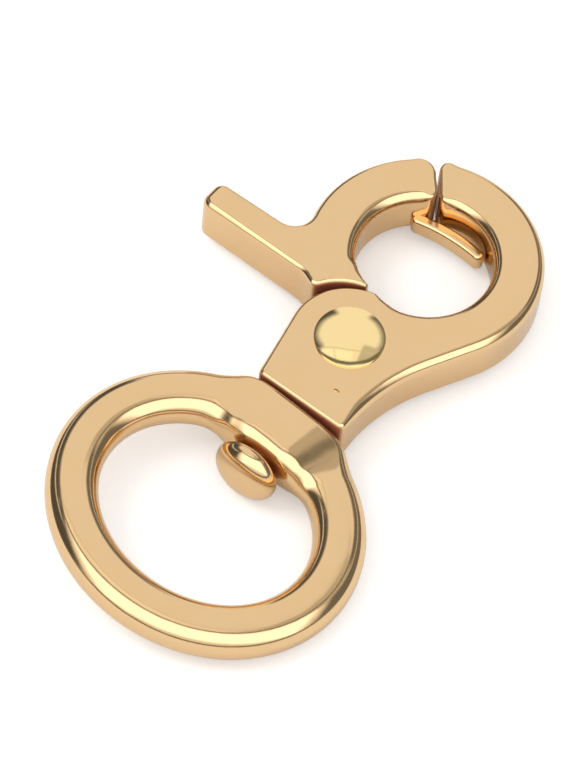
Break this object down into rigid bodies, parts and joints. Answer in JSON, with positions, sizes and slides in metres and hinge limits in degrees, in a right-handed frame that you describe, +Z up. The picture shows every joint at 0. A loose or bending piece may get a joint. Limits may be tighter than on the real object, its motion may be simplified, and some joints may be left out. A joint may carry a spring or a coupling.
{
  "type": "swivel snap hook",
  "caption": "Cast brass trigger snap: a round eye closed by a sprung, riveted gate with a thumb lever, and an oval ring that turns on a button-headed stud.",
  "frame": {"origin": "on the surface that the hook lies on, under the middle of its outline as seen from above", "axes": "+Z up through the hook's thickness, +Y along the swivel axis from the ring towards the eye, thumb lever towards -X"},
  "size_m": [0.04, 0.0654, 0.0077],
  "materials": {
    "cast_brass": "polished, pale gold",
    "rivet_brass": "polished, yellower than the castings",
    "spring_steel": "drawn wire"
  },
  "bodies": {
    "hook": {"hook_body": "cast_brass", "pivot_rivet": "rivet_brass", "gate_spring": "spring_steel", "swivel_stud": "cast_brass"},
    "gate": {"trigger_gate": "cast_brass"},
    "ring": {"swivel_ring": "cast_brass"}
  },
  "joints": [
    {"name": "gate_pivot", "type": "hinge", "parent": "hook", "child": "gate", "pos_m": [0.00239, 0.00688, 0.00385], "axis": [0, 0, 1], "range_deg": [0, 32], "stiffness_Nm_per_rad": 0.05, "springref_deg": -34.38, "deforming": ["gate_spring"]},
    {"name": "ring_swivel", "type": "hinge", "parent": "hook", "child": "ring", "pos_m": [0.00314, -0.00602, 0.00385], "axis": [0, 1, 0], "continuous": true}
  ]
}
